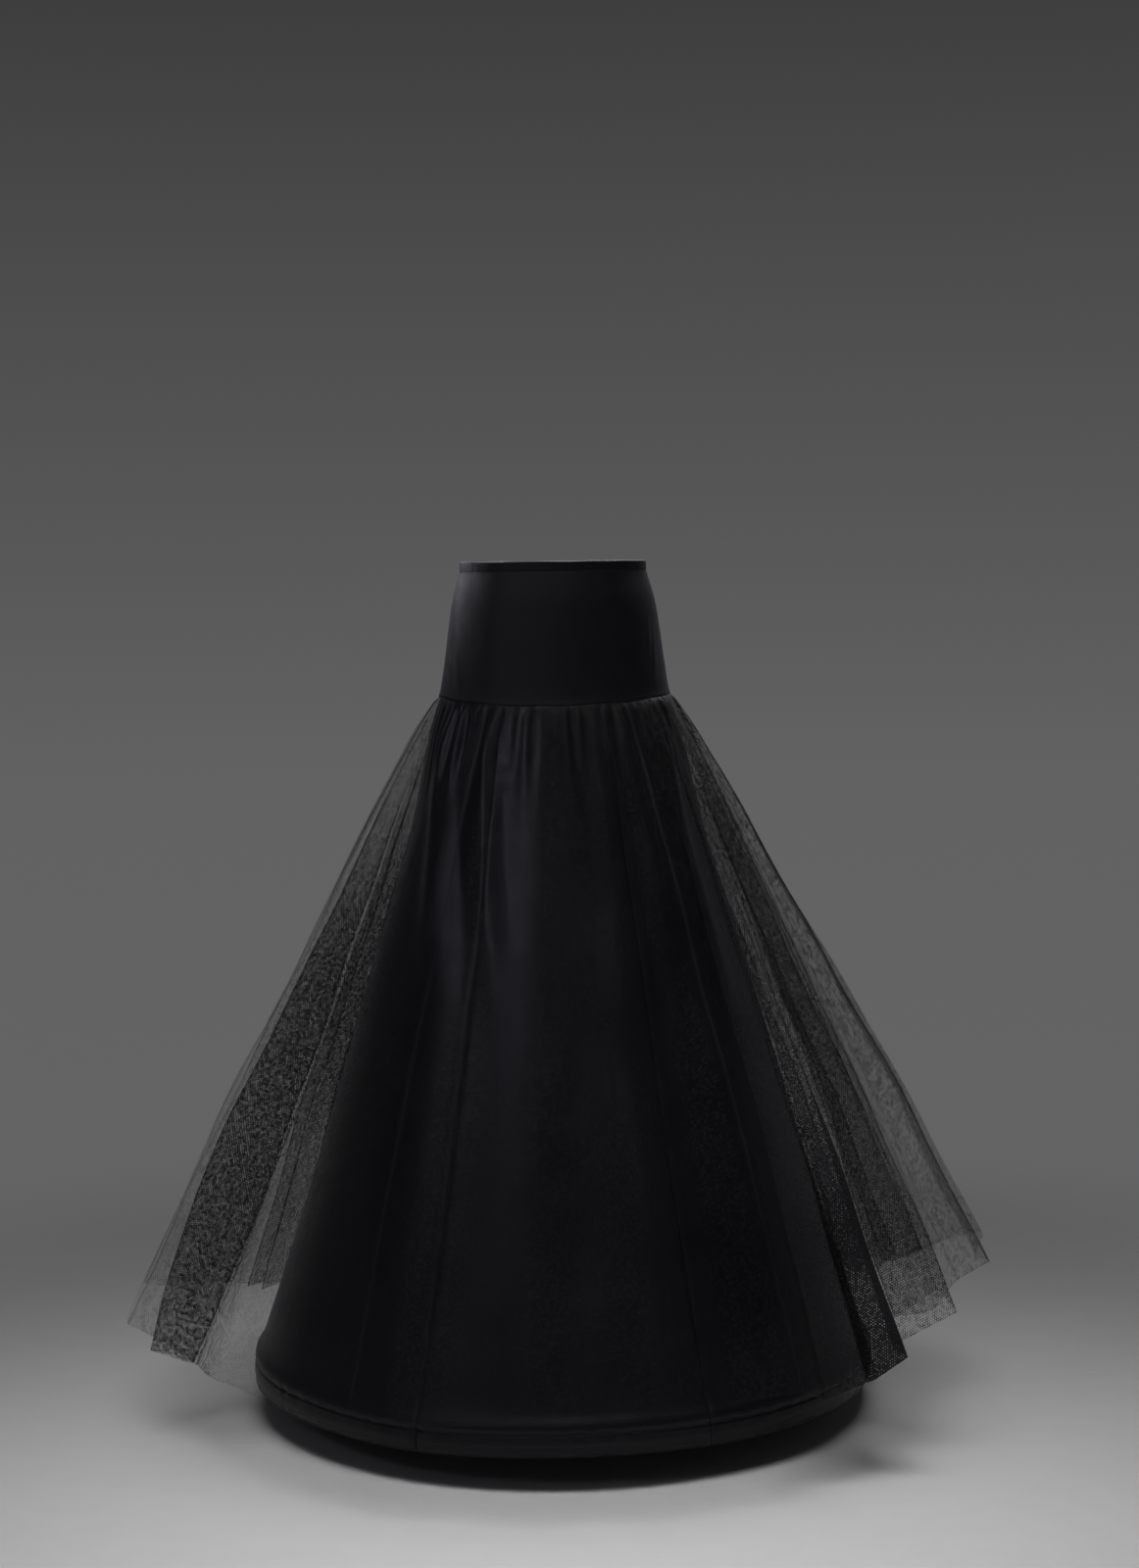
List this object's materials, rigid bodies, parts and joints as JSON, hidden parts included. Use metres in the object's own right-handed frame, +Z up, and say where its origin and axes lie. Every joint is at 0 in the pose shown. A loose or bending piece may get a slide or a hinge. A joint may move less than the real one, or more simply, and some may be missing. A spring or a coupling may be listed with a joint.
{
  "type": "hooped crinoline petticoat",
  "caption": "Floor-length A-line crinoline petticoat: stretch hip yoke, opaque gored lining kept open by a hoop in the hem, and a stiff gathered net overskirt standing out over it",
  "frame": {"origin": "centre of the waist opening, in the plane of the top edge, where a wearer's waist or a dress form holds the petticoat up", "axes": "+Z up out of the waist opening, the front of the petticoat faces -Y, +X to the right as seen from the front; the skirt hangs down to negative Z"},
  "size_m": [1.102, 1.0598, 1.035],
  "materials": {
    "yoke_knit": "smooth black stretch knit with a faint sheen",
    "elastic": "black woven elastic",
    "lining_taffeta": "plain-woven black lining cloth with a soft blue-black sheen",
    "casing_tape": "black twill tape",
    "hoop_plastic": "plastic-covered flat spring steel",
    "connector_steel": "crimped steel sleeve",
    "net": "stiff black hexagonal net, see-through"
  },
  "bodies": {
    "root": {"yoke_front": "yoke_knit", "yoke_back": "yoke_knit", "waist_elastic": "elastic", "lining_front": "lining_taffeta", "lining_front_right": "lining_taffeta", "lining_back_right": "lining_taffeta", "lining_back": "lining_taffeta", "lining_back_left": "lining_taffeta", "lining_front_left": "lining_taffeta", "hoop_casing": "casing_tape", "hem_hoop": "hoop_plastic", "hoop_connector": "connector_steel", "net_front": "net", "net_front_right": "net", "net_back_right": "net", "net_back": "net", "net_back_left": "net", "net_front_left": "net"}
  },
  "joints": []
}
